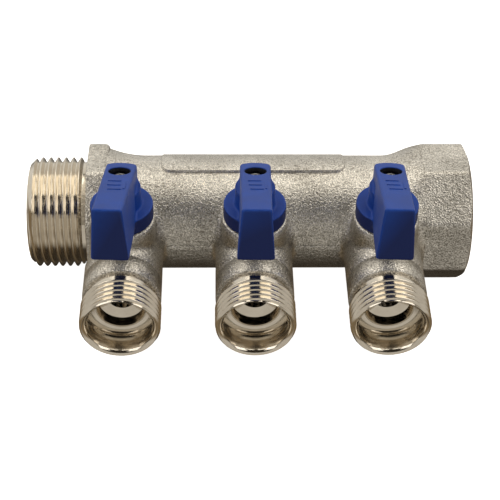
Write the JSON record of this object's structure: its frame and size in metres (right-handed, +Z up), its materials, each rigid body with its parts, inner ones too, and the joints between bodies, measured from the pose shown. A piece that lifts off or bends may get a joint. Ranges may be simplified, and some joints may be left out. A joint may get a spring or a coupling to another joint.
{
  "type": "underfloor heating manifold",
  "caption": "Forged plated-brass manifold bar with a male and a female threaded end and lever-handled ball valves on its threaded outlets.",
  "frame": {"origin": "middle of the bottom of the whole object's box, level with the octagons' lowest corner", "axes": "+X along the bar from the male end to the female end, -Y the way the outlets point, +Z up, the way the handles stand"},
  "size_m": [0.1314, 0.0708, 0.0636],
  "materials": {
    "nickel_plated_brass": "nickel-plated hot forging, satin and slightly grained, with brighter machined threads and faces",
    "handle_plastic": "blue moulded plastic, fine satin",
    "chromed_ball": "polished chrome",
    "stem_brass": "turned brass",
    "seat_ptfe": "white, waxy",
    "oring_rubber": "black, matte",
    "screw_steel": "zinc-plated"
  },
  "bodies": {
    "manifold": {"manifold_body": "nickel_plated_brass", "outlet_nipple_left": "nickel_plated_brass", "seat_inner_left": "seat_ptfe", "seat_outer_left": "seat_ptfe", "stem_washer_left": "seat_ptfe", "outlet_nipple_middle": "nickel_plated_brass", "seat_inner_middle": "seat_ptfe", "seat_outer_middle": "seat_ptfe", "stem_washer_middle": "seat_ptfe", "outlet_nipple_right": "nickel_plated_brass", "seat_inner_right": "seat_ptfe", "seat_outer_right": "seat_ptfe", "stem_washer_right": "seat_ptfe"},
    "valve_left": {"ball_left": "chromed_ball", "stem_left": "stem_brass", "stem_oring_lower_left": "oring_rubber", "stem_oring_upper_left": "oring_rubber", "handle_left": "handle_plastic", "handle_screw_left": "screw_steel"},
    "valve_middle": {"ball_middle": "chromed_ball", "stem_middle": "stem_brass", "stem_oring_lower_middle": "oring_rubber", "stem_oring_upper_middle": "oring_rubber", "handle_middle": "handle_plastic", "handle_screw_middle": "screw_steel"},
    "valve_right": {"ball_right": "chromed_ball", "stem_right": "stem_brass", "stem_oring_lower_right": "oring_rubber", "stem_oring_upper_right": "oring_rubber", "handle_right": "handle_plastic", "handle_screw_right": "screw_steel"}
  },
  "joints": [
    {"name": "handle_turn_left", "type": "hinge", "parent": "manifold", "child": "valve_left", "pos_m": [-0.03677, -0.00502, 0.02024], "axis": [0, 0, 1], "range_deg": [-87.5, 2.5]},
    {"name": "handle_turn_middle", "type": "hinge", "parent": "manifold", "child": "valve_middle", "pos_m": [0.00123, -0.00502, 0.02024], "axis": [0, 0, 1], "range_deg": [-89.2, 0.8]},
    {"name": "handle_turn_right", "type": "hinge", "parent": "manifold", "child": "valve_right", "pos_m": [0.03923, -0.00502, 0.02024], "axis": [0, 0, 1], "range_deg": [-87.5, 2.5]}
  ]
}
